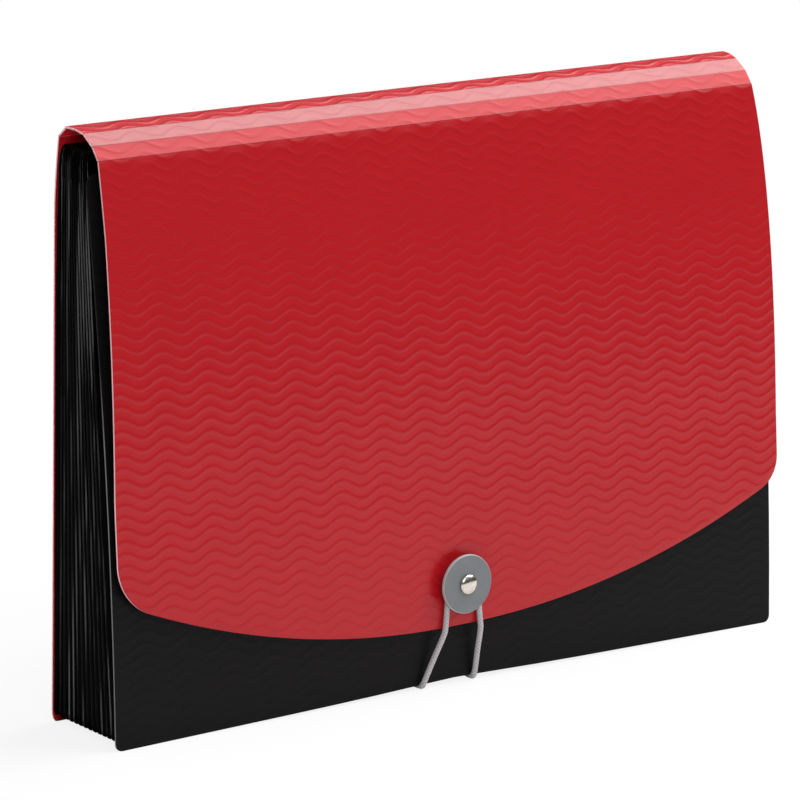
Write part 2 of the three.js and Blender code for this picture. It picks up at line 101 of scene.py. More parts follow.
def place_camera():
    """The camera at the photograph's viewpoint, to the folder's left and a little above it."""
    forward = Vector((
        math.sin(CAMERA_YAW) * math.cos(CAMERA_PITCH),
        math.cos(CAMERA_YAW) * math.cos(CAMERA_PITCH),
        -math.sin(CAMERA_PITCH),
    ))
    level_right = Vector((math.cos(CAMERA_YAW), -math.sin(CAMERA_YAW), 0))
    level_up = level_right.cross(forward)
    right = level_right * math.cos(CAMERA_ROLL) + level_up * math.sin(CAMERA_ROLL)
    up = level_up * math.cos(CAMERA_ROLL) - level_right * math.sin(CAMERA_ROLL)
    lens = bpy.data.cameras.new("photo_camera")
    lens.sensor_width = SENSOR_MM
    lens.lens = SENSOR_MM * FOCAL_PIXELS / FRAME_PIXELS
    lens.clip_end = 20
    camera = bpy.data.objects.new("photo_camera", lens)
    bpy.context.scene.collection.objects.link(camera)
    turn = Matrix((right, up, -forward)).transposed().to_4x4()
    camera.matrix_world = Matrix.Translation(CAMERA_PLACE) @ turn
    bpy.context.scene.camera = camera


place_camera()
bpy.context.scene.view_settings.view_transform = "Standard"


# Materials

POLYPROPYLENE_IOR = 1.49


def hex_colour(code):
    """An sRGB hex colour as the linear colour that the shader takes."""
    parts = [int(code[i:i + 2], 16) / 255 for i in (0, 2, 4)]
    linear = [p / 12.92 if p <= 0.04045 else ((p + 0.055) / 1.055) ** 2.4 for p in parts]
    return (*linear, 1.0)


def darker(colour, share):
    """A colour with its red, green and blue at a share of what they were."""
    return (*(part * share for part in colour[:3]), 1.0)


def add_node(tree, kind, inputs=None, **settings):
    """Adds a node, sets its settings, and sets or links its inputs."""
    node = tree.nodes.new(kind)
    for name, value in settings.items():
        setattr(node, name, value)
    for name, value in (inputs or {}).items():
        if isinstance(value, bpy.types.NodeSocket):
            tree.links.new(value, node.inputs[name])
        else:
            node.inputs[name].default_value = value
    return node


def new_material(name):
    """An empty node material, as the material, its node tree and its shader."""
    material = bpy.data.materials.new(name)
    material.use_nodes = True
    tree = material.node_tree
    shader = tree.nodes["Principled BSDF"]
    return material, tree, shader


def give_material(piece, material):
    """Gives a piece one material."""
    piece.data.materials.clear()
    piece.data.materials.append(material)


def wave_relief(tree, angle, start):
    """The embossed waves of a sheet, as a height from 0 to 1.

    The waves run across the folder and follow each other along the sheet, which goes on at
    the given angle. The start makes the waves' count run on from the stretch before.
    """
    place = add_node(tree, "ShaderNodeTexCoord").outputs["Object"]
    across = add_node(tree, "ShaderNodeSeparateXYZ", {0: place}).outputs["X"]
    along = add_node(tree, "ShaderNodeVectorMath", {
        0: place, 1: sheet_direction(angle),
    }, operation="DOT_PRODUCT")
    per_length = 2 * math.pi / WAVE_LENGTH
    per_pitch = 2 * math.pi / WAVE_PITCH
    phase = add_node(tree, "ShaderNodeMath", {
        0: across, 1: per_length, 2: -WAVE_CREST * per_length,
    }, operation="MULTIPLY_ADD")
    swing = add_node(tree, "ShaderNodeMath", {0: phase.outputs[0]}, operation="COSINE")
    waved = add_node(tree, "ShaderNodeMath", {
        0: swing.outputs[0], 1: WAVE_HEIGHT, 2: along.outputs["Value"],
    }, operation="MULTIPLY_ADD")
    turns = add_node(tree, "ShaderNodeMath", {
        0: waved.outputs[0], 1: per_pitch, 2: start * per_pitch,
    }, operation="MULTIPLY_ADD")
    ridge = add_node(tree, "ShaderNodeMath", {0: turns.outputs[0]}, operation="SINE")
    level = add_node(tree, "ShaderNodeMath", {
        0: ridge.outputs[0], 1: 0.5, 2: 0.5,
    }, operation="MULTIPLY_ADD")
    # The power makes the ridges narrower than the flats between them.
    narrow = add_node(tree, "ShaderNodeMath", {0: level.outputs[0], 1: 2.5}, operation="POWER")
    return narrow.outputs[0]


def cut_edge(tree, axis, face_share, edge_share):
    """1 on the cut edges of a sheet and 0 on its faces, told apart by how they face an axis."""
    normal = add_node(tree, "ShaderNodeTexCoord").outputs["Normal"]
    part = add_node(tree, "ShaderNodeSeparateXYZ", {0: normal}).outputs[axis]
    facing = add_node(tree, "ShaderNodeMath", {0: part}, operation="ABSOLUTE")
    share = add_node(tree, "ShaderNodeMapRange", {
        "Value": facing.outputs[0], "From Min": face_share, "From Max": edge_share,
    })
    return share.outputs["Result"]


def embossed_polypropylene(
    name, face, edge, angle, start, relief, roughness, shine, glow=0.0, on_spine=False, edge_shade_start=1.0,
):
    """Extruded polypropylene sheet with waves rolled into it while warm, then die-cut.

    The eye sees a satin face, whose waves catch the light where it turns from dark to bright
    and whose lines are painted darker as shade, faint clouds in the pigment, and paler cut
    edges, partly whitened by the die and partly a painted highlight. The edges are pale up to
    a given height, and above it keep the face's colour as painted shade from the pocket films.
    The glow is how much light passes inside the thin red sheet.
    """
    material, tree, shader = new_material(name)
    place = add_node(tree, "ShaderNodeTexCoord").outputs["Object"]
    height = add_node(tree, "ShaderNodeSeparateXYZ", {0: place}).outputs["Z"]
    waves = wave_relief(tree, angle, start)
    # Pigment clouds about 30 mm wide
    clouds = add_node(tree, "ShaderNodeTexNoise", {"Vector": place, "Scale": 35.0, "Detail": 2.0})
    body = add_node(tree, "ShaderNodeMix", {
        0: clouds.outputs["Fac"], 6: darker(face, 0.93), 7: face,
    }, data_type="RGBA")
    # The waves' lines are painted darker as shade, and this painted shade fades towards the score
    # line at the top.
    pressed = add_node(tree, "ShaderNodeMapRange", {
        "Value": height, "From Min": 0.12, "From Max": 0.21, "To Min": 0.34, "To Max": 0.18,
    })
    groove_shade = add_node(tree, "ShaderNodeMath", {
        0: waves, 1: pressed.outputs["Result"],
    }, operation="MULTIPLY")
    shade_lined = add_node(tree, "ShaderNodeMix", {
        0: groove_shade.outputs[0], 6: body.outputs[2], 7: darker(face, 0.78),
    }, data_type="RGBA")
    # The pale cut edges are partly the die's whitening and partly a painted highlight; above the
    # given height they keep the face's colour as painted shade.
    if on_spine:
        rim = cut_edge(tree, "X", 0.6, 0.8)
    else:
        rim = cut_edge(tree, "Y", 0.75, 0.45)
    below_edge_shade = add_node(tree, "ShaderNodeMapRange", {
        "Value": height, "From Min": edge_shade_start, "From Max": edge_shade_start - 0.03,
    })
    pale = add_node(tree, "ShaderNodeMath", {
        0: rim, 1: below_edge_shade.outputs["Result"],
    }, operation="MULTIPLY")
    colour = add_node(tree, "ShaderNodeMix", {
        0: pale.outputs[0], 6: shade_lined.outputs[2], 7: edge,
    }, data_type="RGBA")
    tree.links.new(colour.outputs[2], shader.inputs["Base Color"])
    shader.inputs["Roughness"].default_value = roughness
    shader.inputs["IOR"].default_value = POLYPROPYLENE_IOR
    shader.inputs["Specular IOR Level"].default_value = shine
    shader.inputs["Subsurface Weight"].default_value = glow
    shader.inputs["Subsurface Radius"].default_value = (1.0, 0.25, 0.25)
    shader.inputs["Subsurface Scale"].default_value = 0.0025
    # Extrusion grain about 0.4 mm fine and 6 thousandths of a millimetre deep
    grain = add_node(tree, "ShaderNodeTexNoise", {
        "Vector": place, "Scale": 2400.0, "Detail": 1.0,
    })
    fine = add_node(tree, "ShaderNodeBump", {
        "Height": grain.outputs["Fac"], "Strength": 1.0, "Distance": 0.000006,
    })
    coarse = add_node(tree, "ShaderNodeBump", {
        "Height": waves, "Strength": 1.0, "Distance": relief, "Normal": fine.outputs["Normal"],
    })
    tree.links.new(coarse.outputs["Normal"], shader.inputs["Normal"])
    return material


def film_polypropylene():
    """Thin black polypropylene film, drawn over a roller.

    The eye sees near black, with soft marks up the film from the drawing. The folds and the
    dividers' cut edges are painted grey here and there as thin highlight lines where they catch
    the light.
    """
    material, tree, shader = new_material("polypropylene_film_black")
    place = add_node(tree, "ShaderNodeTexCoord").outputs["Object"]
    # Draw marks 3 mm apart that run up the film for 80 mm
    stretched = add_node(tree, "ShaderNodeMapping", {
        "Vector": place, "Scale": (330.0, 330.0, 12.0),
    })
    marks = add_node(tree, "ShaderNodeTexNoise", {
        "Vector": stretched.outputs[0], "Scale": 1.0, "Detail": 2.0,
    }).outputs["Fac"]
    marked = add_node(tree, "ShaderNodeMapRange", {
        "Value": marks, "From Min": 0.3, "From Max": 0.75,
    })
    body = add_node(tree, "ShaderNodeMix", {
        0: marked.outputs["Result"], 6: hex_colour("010101"), 7: hex_colour("050505"),
    }, data_type="RGBA")
    # Painted highlights: the cut edges turn grey in streaks where the draw marks run high.
    caught_highlight = add_node(tree, "ShaderNodeMapRange", {
        "Value": marks, "From Min": 0.5, "From Max": 0.66,
    })
    edge = add_node(tree, "ShaderNodeMix", {
        0: caught_highlight.outputs["Result"], 6: hex_colour("070708"), 7: hex_colour("7c7c7f"),
    }, data_type="RGBA")
    colour = add_node(tree, "ShaderNodeMix", {
        0: cut_edge(tree, "X", 0.92, 0.99), 6: body.outputs[2], 7: edge.outputs[2],
    }, data_type="RGBA")
    tree.links.new(colour.outputs[2], shader.inputs["Base Color"])
    rough = add_node(tree, "ShaderNodeMapRange", {"Value": marks, "To Min": 0.22, "To Max": 0.38})
    tree.links.new(rough.outputs["Result"], shader.inputs["Roughness"])
    shader.inputs["Specular IOR Level"].default_value = 0.03
    shader.inputs["IOR"].default_value = POLYPROPYLENE_IOR
    bump = add_node(tree, "ShaderNodeBump", {"Height": marks, "Strength": 1.0, "Distance": 0.0004})
    tree.links.new(bump.outputs["Normal"], shader.inputs["Normal"])
    return material


def moulded_polypropylene():
    """Grey polypropylene, injection-moulded in a spark-eroded mould.

    The eye sees an even, dull, finely grained face and a paler rim, a highlight painted where
    the edge turns away from the face.
    """
    material, tree, shader = new_material("moulded_polypropylene_grey")
    place = add_node(tree, "ShaderNodeTexCoord").outputs["Object"]
    # Flow marks 6 mm wide, and grain of 0.25 mm
    flow = add_node(tree, "ShaderNodeTexNoise", {"Vector": place, "Scale": 160.0, "Detail": 1.0})
    grain = add_node(tree, "ShaderNodeTexNoise", {
        "Vector": place, "Scale": 4000.0, "Detail": 2.0,
    })
    flowed = add_node(tree, "ShaderNodeMapRange", {
        "Value": flow.outputs["Fac"], "From Min": 0.3, "From Max": 0.7,
    })
    face = add_node(tree, "ShaderNodeMix", {
        0: flowed.outputs["Result"], 6: hex_colour("676a6d"), 7: hex_colour("6c6f72"),
    }, data_type="RGBA")
    # Painted highlight: the rim, where the face turns away from the button's axis, is coloured paler.
    normal = add_node(tree, "ShaderNodeTexCoord").outputs["Normal"]
    along_axis = add_node(tree, "ShaderNodeVectorMath", {
        0: normal, 1: BUTTON_AXIS,
    }, operation="DOT_PRODUCT")
    flatness = add_node(tree, "ShaderNodeMath", {
        0: along_axis.outputs["Value"],
    }, operation="ABSOLUTE")
    rim = add_node(tree, "ShaderNodeMapRange", {
        "Value": flatness.outputs[0], "From Min": 0.95, "From Max": 0.7,
    })
    colour = add_node(tree, "ShaderNodeMix", {
        0: rim.outputs["Result"], 6: face.outputs[2], 7: hex_colour("aaa5a6"),
    }, data_type="RGBA")
    tree.links.new(colour.outputs[2], shader.inputs["Base Color"])
    shader.inputs["Roughness"].default_value = 0.42
    shader.inputs["IOR"].default_value = POLYPROPYLENE_IOR
    bump = add_node(tree, "ShaderNodeBump", {
        "Height": grain.outputs["Fac"], "Strength": 1.0, "Distance": 0.00001,
    })
    tree.links.new(bump.outputs["Normal"], shader.inputs["Normal"])
    return material


def nickel_plate():
    """Bright nickel plate on steel, pressed by the setting tool.

    The eye sees a warm mirror, slightly clouded by scuffs about 1 mm wide.
    """
    material, tree, shader = new_material("nickel_plated_steel")
    place = add_node(tree, "ShaderNodeTexCoord").outputs["Object"]
    scuffs = add_node(tree, "ShaderNodeTexNoise", {
        "Vector": place, "Scale": 900.0, "Detail": 3.0,
    }).outputs["Fac"]
    scuffed = add_node(tree, "ShaderNodeMapRange", {
        "Value": scuffs, "From Min": 0.35, "From Max": 0.7,
    })
    colour = add_node(tree, "ShaderNodeMix", {
        0: scuffed.outputs["Result"], 6: hex_colour("c4beb6"), 7: hex_colour("d6d1c9"),
    }, data_type="RGBA")
    tree.links.new(colour.outputs[2], shader.inputs["Base Color"])
    shader.inputs["Metallic"].default_value = 1.0
    rough = add_node(tree, "ShaderNodeMapRange", {"Value": scuffs, "To Min": 0.14, "To Max": 0.26})
    tree.links.new(rough.outputs["Result"], shader.inputs["Roughness"])
    return material


def braided_elastic():
    """Rubber cord in a cover of braided grey polyester.

    The eye sees a dull, soft cord with a fine lattice of crossing yarns, painted darker in the
    valleys between them as shade. Four yarns cross the cord each way, and the braid repeats
    every 1.6 mm.
    """
    material, tree, shader = new_material("braided_elastic_grey")
    yarns = 4
    repeat_mm = 1.6
    # The map runs once round the cord across, and 1 for each millimetre along it.
    lay = add_node(tree, "ShaderNodeUVMap", uv_map="cord_lay").outputs["UV"]
    apart = add_node(tree, "ShaderNodeSeparateXYZ", {0: lay})
    crossing = []
    for way in (1, -1):
        along = add_node(tree, "ShaderNodeMath", {
            0: apart.outputs["Y"], 1: way * 2 * math.pi / repeat_mm,
        }, operation="MULTIPLY")
        turned = add_node(tree, "ShaderNodeMath", {
            0: apart.outputs["X"], 1: 2 * math.pi * yarns, 2: along.outputs[0],
        }, operation="MULTIPLY_ADD")
        yarn = add_node(tree, "ShaderNodeMath", {0: turned.outputs[0]}, operation="SINE")
        crossing.append(yarn.outputs[0])
    upper = add_node(tree, "ShaderNodeMath", dict(enumerate(crossing)), operation="MAXIMUM")
    height = add_node(tree, "ShaderNodeMath", {
        0: upper.outputs[0], 1: 0.5, 2: 0.5,
    }, operation="MULTIPLY_ADD").outputs[0]
    # Painted shade: the valleys between the yarns are coloured darker than their crests.
    raised = add_node(tree, "ShaderNodeMapRange", {
        "Value": height, "From Min": 0.2, "From Max": 0.75,
    })
    colour = add_node(tree, "ShaderNodeMix", {
        0: raised.outputs["Result"], 6: hex_colour("8d898d"), 7: hex_colour("b1adaf"),
    }, data_type="RGBA")
    tree.links.new(colour.outputs[2], shader.inputs["Base Color"])
    shader.inputs["Roughness"].default_value = 0.8
    shader.inputs["Sheen Weight"].default_value = 0.25
    bump = add_node(tree, "ShaderNodeBump", {
        "Height": height, "Strength": 1.0, "Distance": 0.00007,
    })
    tree.links.new(bump.outputs["Normal"], shader.inputs["Normal"])
    return material


def creased_polypropylene():
    """The red sheet pressed thin along a score line.

    The eye sees a thin line of deeper red, painted darker as the shade it lies in a little
    below the faces beside it. It blushes over stretches of about 3 mm.
    """
    material, tree, shader = new_material("creased_polypropylene_red_shaded")
    place = add_node(tree, "ShaderNodeTexCoord").outputs["Object"]
    blush = add_node(tree, "ShaderNodeTexNoise", {"Vector": place, "Scale": 300.0, "Detail": 2.0})
    blushed = add_node(tree, "ShaderNodeMapRange", {
        "Value": blush.outputs["Fac"], "From Min": 0.35, "From Max": 0.7,
    })
    # Painted shade: the web's red is darker than the sheet's, for the shade in the score gap.
    colour = add_node(tree, "ShaderNodeMix", {
        0: blushed.outputs["Result"], 6: hex_colour("8c1117"), 7: hex_colour("a0181f"),
    }, data_type="RGBA")
    tree.links.new(colour.outputs[2], shader.inputs["Base Color"])
    shader.inputs["Roughness"].default_value = 0.3
    shader.inputs["IOR"].default_value = POLYPROPYLENE_IOR
    return material


RED = hex_colour("aa151d")
# A brighter red, painted as light on the spine's lit strips
RED_PAINTED_LIT = hex_colour("c2212a")
# Cut edge colours: partly the die's whitening and partly a painted highlight
RED_EDGE_WHITENED_AND_LIT = hex_colour("fac6c8")
BLACK = hex_colour("0f0e0f")
BLACK_EDGE_WHITENED_AND_LIT = hex_colour("77767a")

# The spine's strips from the back to the front. All but the fourth are painted a brighter red
# as painted light, for the light that falls on them and passes through the sheet; its waves
# lie deeper behind the crest, and it shines most on the fourth strip.
STRIP_COLOURS = [RED_PAINTED_LIT, RED_PAINTED_LIT, RED_PAINTED_LIT, RED, RED_PAINTED_LIT]
STRIP_RELIEFS = [0.00036, 0.00045, 0.00040, 0.00010, 0.00010]
STRIP_SHINES = [0.3, 0.3, 0.22, 0.56, 0.23]


def waves_start(i, angle):
    """What makes the waves' count run on over the score line i into the stretch after it."""
    return sum(STRIP_WIDTHS[:i]) - SCORE_POINTS[i].dot(sheet_direction(angle))


UP = math.radians(90)
DOWN = math.radians(-90)

back_red = embossed_polypropylene(
    "embossed_polypropylene_red_back", RED, RED_EDGE_WHITENED_AND_LIT, UP, -BACK_COVER_TOP.z,
    relief=0.00010, roughness=0.38, shine=0.22, glow=0.25,
)
flap_red = embossed_polypropylene(
    "embossed_polypropylene_red_flap", RED, RED_EDGE_WHITENED_AND_LIT, DOWN, waves_start(STRIPS, DOWN),
    relief=0.00010, roughness=0.28, shine=0.29,
)
front_black = embossed_polypropylene(
    "embossed_polypropylene_black", BLACK, BLACK_EDGE_WHITENED_AND_LIT, UP, 0.0,
    relief=0.00006, roughness=0.42, shine=0.1, edge_shade_start=0.15,
)
spine_reds = []
for i in range(STRIPS):
    strip_angle = math.radians(STRETCH_ANGLES[i + 1])
    spine_reds.append(embossed_polypropylene(
        f"embossed_polypropylene_red_strip_{i + 1}", STRIP_COLOURS[i], RED_EDGE_WHITENED_AND_LIT, strip_angle,
        waves_start(i, strip_angle),
        relief=STRIP_RELIEFS[i], roughness=0.3, shine=STRIP_SHINES[i], glow=0.6, on_spine=True,
    ))
film_black = film_polypropylene()
button_grey = moulded_polypropylene()
nickel = nickel_plate()
elastic_grey = braided_elastic()
score_red_shaded = creased_polypropylene()

for i, strip_red in enumerate(spine_reds):
    give_material(cad[f"spine_strip_{i + 1}"], strip_red)
NODE_MATERIALS = {
    "back_cover": back_red,
    "flap": flap_red,
    "front_cover": front_black,
    "divider": film_black,
    "gusset": film_black,
    "button_disc": button_grey,
    "button_hub": button_grey,
    "button_rivet": nickel,
    "rivet_washer": nickel,
    "cord_barb": nickel,
}
for name, node in cad.items():
    for start, material in NODE_MATERIALS.items():
        if name.startswith(start):
            give_material(node, material)


# Ways of making a piece

def select_only(piece):
    """Makes one object the only selected and the active one."""
    bpy.ops.object.select_all(action="DESELECT")
    piece.select_set(True)
    bpy.context.view_layer.objects.active = piece


def apply_modifier(piece, kind, **settings):
    """Adds a modifier to the active piece with its settings and applies it."""
    modifier = piece.modifiers.new(kind.lower(), kind)
    for name, value in settings.items():
        setattr(modifier, name, value)
    bpy.ops.object.modifier_apply(modifier=modifier.name)


def joined_copy(node, name):
    """A copy of a CAD solid, selected, with its loose corners joined."""
    piece = bpy.data.objects.new(name, cad[node].data.copy())
    bpy.context.scene.collection.objects.link(piece)
    select_only(piece)
    bpy.ops.object.mode_set(mode="EDIT")
    bpy.ops.mesh.select_all(action="SELECT")
    bpy.ops.mesh.remove_doubles(threshold=0.000001)
    bpy.ops.object.mode_set(mode="OBJECT")
    return piece


# The elastic cord

CORD_DIAMETER = 0.0023
CORD_SIDES = 16
CORD_STEPS = 8
# From the left hole in the back cover, down, under the folder, up round the button and back
CORD_ROUTE_MM = [
    (-18, 46.3, 24), (-18, 47.3, 23.9), (-18, 48.2, 23.3), (-18, 48.55, 22.2),
    (-18, 48.55, 13), (-18, 48.55, 3.1), (-18, 48.01, 1.85), (-18, 46.7, 1.36),
    (-17.8, 32, 1.3), (-17.2, 17, 1.3), (-16.9, 2.6, 1.36), (-16.9, 1.3, 1.85),
    (-16.8, 0.76, 3.1), (-12.8, -0.6, 13.5), (-8.9, -1.93, 23.4), (-8.5, -1.95, 25.5),
    (-6.95, -1.62, 43), (-6.02, -1.53, 46.5), (-3.48, -1.45, 49), (0, -1.42, 49.95),
    (3.48, -1.45, 49), (6.02, -1.53, 46.5), (6.95, -1.62, 43), (9.1, -1.95, 25.5),
    (9.4, -1.93, 23.4), (9.2, -0.55, 13.5), (9, 0.93, 3.1), (9, 1.47, 1.85),
    (9, 2.78, 1.36), (11.5, 17, 1.3), (15.5, 32, 1.3), (18, 46.7, 1.36),
    (18, 48.01, 1.85), (18, 48.55, 3.1), (18, 48.55, 13), (18, 48.55, 22.2),
    (18, 48.2, 23.3), (18, 47.3, 23.9), (18, 46.3, 24),
]


def smooth_line(route, steps):
    """A centripetal curve through the route's points, with so many steps between them."""
    points = [2 * route[0] - route[1], *route, 2 * route[-1] - route[-2]]
    line = []
    for a, b, c, d in zip(points, points[1:], points[2:], points[3:]):
        ab = math.sqrt((b - a).length)
        bc = math.sqrt((c - b).length)
        cd = math.sqrt((d - c).length)
        leave = ((b - a) / ab - (c - a) / (ab + bc) + (c - b) / bc) * bc
        arrive = ((c - b) / bc - (d - b) / (bc + cd) + (d - c) / cd) * bc
        for k in range(steps):
            t = k / steps
            line.append(
                b * (2 * t ** 3 - 3 * t ** 2 + 1) + leave * (t ** 3 - 2 * t ** 2 + t)
                + c * (3 * t ** 2 - 2 * t ** 3) + arrive * (t ** 3 - t ** 2)
            )
    line.append(route[-1])
    return line


def tube(name, line, radius, sides):
    """A closed tube along a line, and its length.

    Its map runs once round it across, and 1 for each millimetre along it.
    """
    ahead = [*line[1:], line[-1]]
    behind = [line[0], *line[:-1]]
    directions = [(a - b).normalized() for a, b in zip(ahead, behind)]
    across = directions[0].orthogonal().normalized()
    vertices = []
    lengths_mm = []
    travelled = 0.0
    for point, before, direction in zip(line, behind, directions):
        travelled += (point - before).length
        lengths_mm.append(travelled * 1000)
        across = (across - direction * across.dot(direction)).normalized()
        beside = direction.cross(across)
        for k in range(sides):
            turn = 2 * math.pi * k / sides
            out = across * math.cos(turn) + beside * math.sin(turn)
            vertices.append(tuple(point + out * radius))
    faces = []
    lay = []
    for i in range(len(line) - 1):
        for k in range(sides):
            here = i * sides + k
            beside = i * sides + (k + 1) % sides
            faces.append((here, beside, beside + sides, here + sides))
            lay.append((k / sides, lengths_mm[i]))
            lay.append(((k + 1) / sides, lengths_mm[i]))
            lay.append(((k + 1) / sides, lengths_mm[i + 1]))
            lay.append((k / sides, lengths_mm[i + 1]))
    last = (len(line) - 1) * sides
    faces.append(tuple(reversed(range(sides))))
    faces.append(tuple(range(last, last + sides)))
    lay.extend([(0.5, 0.0)] * (2 * sides))
    mesh = bpy.data.meshes.new(name)
    mesh.from_pydata(vertices, [], faces)
    layer = mesh.uv_layers.new(name="cord_lay")
    for loop, value in zip(layer.data, lay):
        loop.uv = value
    mesh.update()
    piece = bpy.data.objects.new(name, mesh)
    bpy.context.scene.collection.objects.link(piece)
    return piece, travelled


cord_route = []
for x, y, z in CORD_ROUTE_MM:
    cord_route.append(Vector((x, y, z)) / 1000 - Vector((0, ORIGIN_SETBACK, 0)))
cord_line = smooth_line(cord_route, CORD_STEPS)
cord, cord_length = tube("elastic_loop", cord_line, CORD_DIAMETER / 2, CORD_SIDES)
give_material(cord, elastic_grey)
select_only(cord)
bpy.ops.object.mode_set(mode="EDIT")
bpy.ops.mesh.select_all(action="SELECT")
bpy.ops.mesh.normals_make_consistent(inside=False)
bpy.ops.object.mode_set(mode="OBJECT")
bpy.ops.object.shade_smooth_by_angle(angle=math.radians(50))
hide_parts("elastic_cord")
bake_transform(cord)


# The folded films round the pockets

# Divider 1 has place 1 in the fan, and the front cover's inner face has the last place.
FRONT_PLACE = 13.3
DIVIDER_1_FOOT = 0.0419 - ORIGIN_SETBACK
FRONT_FOOT = 0.0008 - ORIGIN_SETBACK
FAN_LEAN = 0.105706
FRONT_COVER_LEAN = 0.135
BACK_COVER_LEAN = -0.134
FILM_TOP = 0.226
FILM_FOOT = 0.004
FILM_FOLD_END = 0.156
DIVIDER_TOP = 0.222
SHOULDER_RADIUS = 0.006
FOOT_RADIUS = 0.003
# The films and the dividers are nearly square at their corners.
SQUARING = 0.65
# Where the first film turns from the back cover to the pocket, and how soon it does so
FIRST_FOLD = 0.02245
FIRST_FOLD_WIDTH = 0.00185


def corner_inset(inside, radius):
    """How far a round corner's edge lies inside the square one, so far from its end."""
    left = max(0.0, radius - inside)
    return radius - math.sqrt(radius * radius - left * left)


def square_out(x, z, top):
    """A place across a film or divider, moved out towards a square corner."""
    inset = corner_inset(max(0.0, top - z), SHOULDER_RADIUS)
    inset += corner_inset(max(0.0, z - FILM_FOOT), FOOT_RADIUS)
    return x + math.copysign(SQUARING * inset, x)


def fill_out(film, lean_at):
    """Takes a film's corners out towards square ones, its mouth up and its foot down."""
    for vertex in film.data.vertices:
        x, y, z = vertex.co
        if abs(x) > FILM_FOLD_END:
            x = square_out(x, z, FILM_TOP)
        rise = 0.005 * min(1, max(0, (z - 0.200) / 0.026))
        drop = 0.0012 * min(1, max(0, (0.016 - z) / 0.012))
        vertex.co = (x, y + (rise - drop) * lean_at(y), z + rise - drop)


def fold_plane(place):
    """A place in the fan as the depth of its plane at the floor and the plane's lean."""
    share = (place - 1) / (FRONT_PLACE - 1)
    return DIVIDER_1_FOOT + (FRONT_FOOT - DIVIDER_1_FOOT) * share, FAN_LEAN * share


def pleat(k):
    """The film of one pocket, which stands for its CAD node."""
    film = joined_copy(f"gusset_{k:02d}", f"pleat_{k:02d}")
    bpy.ops.object.shade_smooth_by_angle(angle=math.radians(25))
    give_material(film, film_black)
    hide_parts(f"gusset_{k:02d}")
    return film


# Each film's corners are taken out towards square ones, and its mouth raised and its foot
# lowered along the lean of the pocket's middle plane, or the front cover's for the last film.
for k in range(2, POCKETS + 1):
    film = pleat(k)
    foot, lean = fold_plane(k - 0.5 if k < POCKETS else (POCKETS - 1 + FRONT_PLACE) / 2)
    film_lean = FRONT_COVER_LEAN if k == POCKETS else lean
    fill_out(film, lambda y: film_lean)
    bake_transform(film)

# The first film hangs between the back cover and the first divider, which takes one part
# in thirteen of the front cover's travel.
first_film = pleat(1)
fill_out(first_film, lambda y: BACK_COVER_LEAN * min(1, max(0, (y - FIRST_FOLD) / FIRST_FOLD_WIDTH)))
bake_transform(first_film)


# The stiff pieces, with the fine round that their tools leave on their edges

BACK_CORNER_RADIUS = 0.005


def rounded_copy(node, name, body, material, width):
    """A copy of a CAD solid with finely rounded edges and level shading on its faces."""
    piece = joined_copy(node, name)
    apply_modifier(
        piece, "BEVEL", limit_method="ANGLE", angle_limit=math.radians(40), width=width, segments=2,
    )
    bpy.ops.object.shade_smooth_by_angle(angle=math.radians(32))
    apply_modifier(piece, "WEIGHTED_NORMAL", keep_sharp=True)
    give_material(piece, material)
    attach(piece, body)
    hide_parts(node)
    return piece


for k in range(1, POCKETS):
    leaf = rounded_copy(
        f"divider_{k:02d}", f"leaf_{k:02d}", f"pocket_{k:02d}", film_black, 0.00005,
    )
    for vertex in leaf.data.vertices:
        if abs(vertex.co.x) > FILM_FOLD_END:
            vertex.co.x = square_out(vertex.co.x, vertex.co.z, DIVIDER_TOP)

back_sheet = rounded_copy("back_cover", "back_sheet", "back", back_red, 0.00015)
for vertex in back_sheet.data.vertices:
    if vertex.co.z < 0.006 and abs(vertex.co.x) > 0.155:
        inset = corner_inset(max(0.0, vertex.co.z), BACK_CORNER_RADIUS)
        vertex.co.x += math.copysign(0.6 * inset, vertex.co.x)

button = rounded_copy("button_disc", "button_face", "disc", button_grey, 0.0001)
for vertex in button.data.vertices:
    out = vertex.co - BUTTON_CENTRE
    out -= BUTTON_AXIS * out.dot(BUTTON_AXIS)
    # The rim comes in by 3%, and the hole stays.
    if out.length > 0.008:
        vertex.co -= out * 0.03

rounded_copy("button_rivet", "rivet_head", "flap", nickel, 0.00008)


# The flap, which widens below its hinge

FLAP_HALF = 0.1625
FLAP_TOP = Vector((0, 0.0001186, 0.228145))
FLAP_TOP_INSIDE = Vector((0, 0.0008715, 0.2278006))
FLAP_FOOT = 0.0235
FLAP_ARC = 0.400
FLAP_CORNER_LEFT = 0.022
FLAP_CORNER_RIGHT = 0.014
FLAP_WIDENS_LEFT = 0.0030
FLAP_WIDENS_RIGHT = 0.0046
STANDOFF = 0.0035
RIVET_HOLE = 0.0036


def flap_foot(x):
    """The height of the flap's lower edge: a long arc between round corners."""
    centre = FLAP_FOOT + FLAP_ARC
    corner = FLAP_CORNER_LEFT if x < 0 else FLAP_CORNER_RIGHT
    corner_x = FLAP_HALF - corner
    reach = FLAP_ARC - corner
    corner_z = centre - math.sqrt(reach * reach - corner_x * corner_x)
    if abs(x) <= corner_x * FLAP_ARC / reach:
        return centre - math.sqrt(FLAP_ARC * FLAP_ARC - x * x)
    past = abs(x) - corner_x
    return corner_z - math.sqrt(max(0.0, corner * corner - past * past))


def pull(x, z):
    """How much the cord pulls the sheets in at a place, from 0 to 1."""
    share = min(1, abs(x) / 0.166)
    near = 0.75 * (1 - share) + 0.25 * math.exp(-((share / 0.25) ** 2)) * (1 - share)
    return near * max(0, 1 - z / 0.150) ** 2


